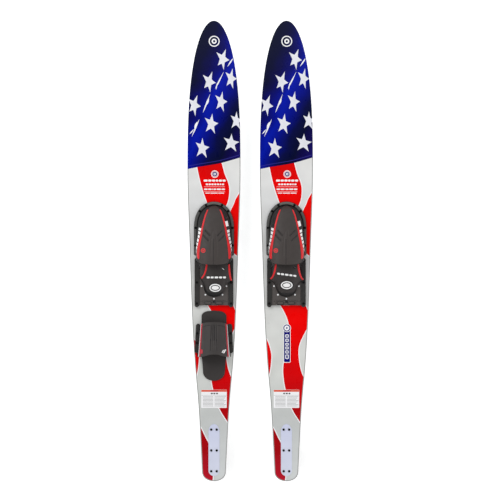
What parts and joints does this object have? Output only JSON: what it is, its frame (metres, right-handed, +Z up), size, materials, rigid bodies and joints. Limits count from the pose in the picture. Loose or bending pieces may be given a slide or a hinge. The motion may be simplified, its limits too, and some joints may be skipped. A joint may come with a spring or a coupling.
{
  "type": "water ski pair",
  "caption": "Pair of combo water skis with adjustable rubber boots, a rear toe strap on one ski, a flag-style top sheet and bolted tail fins.",
  "frame": {"origin": "on the floor under the middle of the pair, at the level of the fins' lowest edges", "axes": "+X across the pair to the right seen from the tails, +Y along the skis to the tips, +Z up out of the decks"},
  "size_m": [0.471, 1.727, 0.176],
  "materials": {
    "base": "moulded glass-filled composite base, smooth",
    "foam_core": "rigid closed-cell core foam",
    "top_sheet": "printed top sheet under clear gloss",
    "brass_insert": "plain brass",
    "black_plastic": "glass-filled nylon, fine moulded grain",
    "frame_plastic": "glass-filled nylon, satin",
    "grey_plastic": "moulded nylon, fine grain",
    "carriage_plate": "anodised sheet",
    "fin_plate": "satin white plastic",
    "black_screw": "black oxide machine screws",
    "boot_rubber": "moulded matt rubber",
    "red_trim": "coloured rubber edging",
    "foam_pad": "closed-cell foam with a fine texture",
    "steel": "stainless, brushed"
  },
  "bodies": {
    "left_ski": {"left_base_shell": "base", "left_core": "foam_core", "left_top_sheet": "top_sheet", "left_inserts": "brass_insert", "left_fin": "black_plastic", "left_fin_plate": "fin_plate", "left_fin_screws": "black_screw", "left_toe_frame": "frame_plastic", "left_frame_screws": "black_screw", "left_toe_cover": "boot_rubber", "left_toe_piping": "red_trim", "left_foot_pad": "foam_pad", "left_outer_rail": "black_plastic", "left_inner_rail": "black_plastic", "left_rail_screws": "black_screw", "left_rack": "steel", "left_rack_screws": "steel", "rear_foot_pad": "foam_pad", "rear_strap": "boot_rubber", "rear_strap_piping": "red_trim", "rear_outer_bracket": "black_plastic", "rear_inner_bracket": "black_plastic", "rear_bracket_screws": "black_screw"},
    "left_heel_carriage": {"left_carriage": "carriage_plate", "left_heel_pad": "foam_pad", "left_heel_cup": "boot_rubber", "left_heel_piping": "red_trim", "left_heel_retainer": "grey_plastic", "left_heel_rivets": "steel", "left_lever_pin": "steel"},
    "left_lock_lever": {"left_lock_lever": "black_plastic", "left_lever_spring": "steel"},
    "right_ski": {"right_base_shell": "base", "right_core": "foam_core", "right_top_sheet": "top_sheet", "right_inserts": "brass_insert", "right_fin": "black_plastic", "right_fin_plate": "fin_plate", "right_fin_screws": "black_screw", "right_toe_frame": "frame_plastic", "right_frame_screws": "black_screw", "right_toe_cover": "boot_rubber", "right_toe_piping": "red_trim", "right_foot_pad": "foam_pad", "right_outer_rail": "black_plastic", "right_inner_rail": "black_plastic", "right_rail_screws": "black_screw", "right_rack": "steel", "right_rack_screws": "steel"},
    "right_heel_carriage": {"right_carriage": "carriage_plate", "right_heel_pad": "foam_pad", "right_heel_cup": "boot_rubber", "right_heel_piping": "red_trim", "right_heel_retainer": "grey_plastic", "right_heel_rivets": "steel", "right_lever_pin": "steel"},
    "right_lock_lever": {"right_lock_lever": "black_plastic", "right_lever_spring": "steel"}
  },
  "joints": [
    {"name": "left_heel_slide", "type": "slide", "parent": "left_ski", "child": "left_heel_carriage", "axis": [0, 1, 0], "range_m": [0, 0.03]},
    {"name": "left_lever_hinge", "type": "hinge", "parent": "left_heel_carriage", "child": "left_lock_lever", "pos_m": [-0.136, -0.1875, 0.0919], "axis": [-1, 0, 0], "range_deg": [-8, 35], "stiffness_Nm_per_rad": 0.05, "springref_deg": -5.73},
    {"name": "right_heel_slide", "type": "slide", "parent": "right_ski", "child": "right_heel_carriage", "axis": [0, 1, 0], "range_m": [0, 0.03]},
    {"name": "right_lever_hinge", "type": "hinge", "parent": "right_heel_carriage", "child": "right_lock_lever", "pos_m": [0.136, -0.1875, 0.0919], "axis": [-1, 0, 0], "range_deg": [-8, 35], "stiffness_Nm_per_rad": 0.05, "springref_deg": -5.73},
    {"name": "right_ski_apart", "type": "slide", "parent": "left_ski", "child": "right_ski", "axis": [1, 0, 0], "range_m": [-0.05, 0.25]}
  ]
}
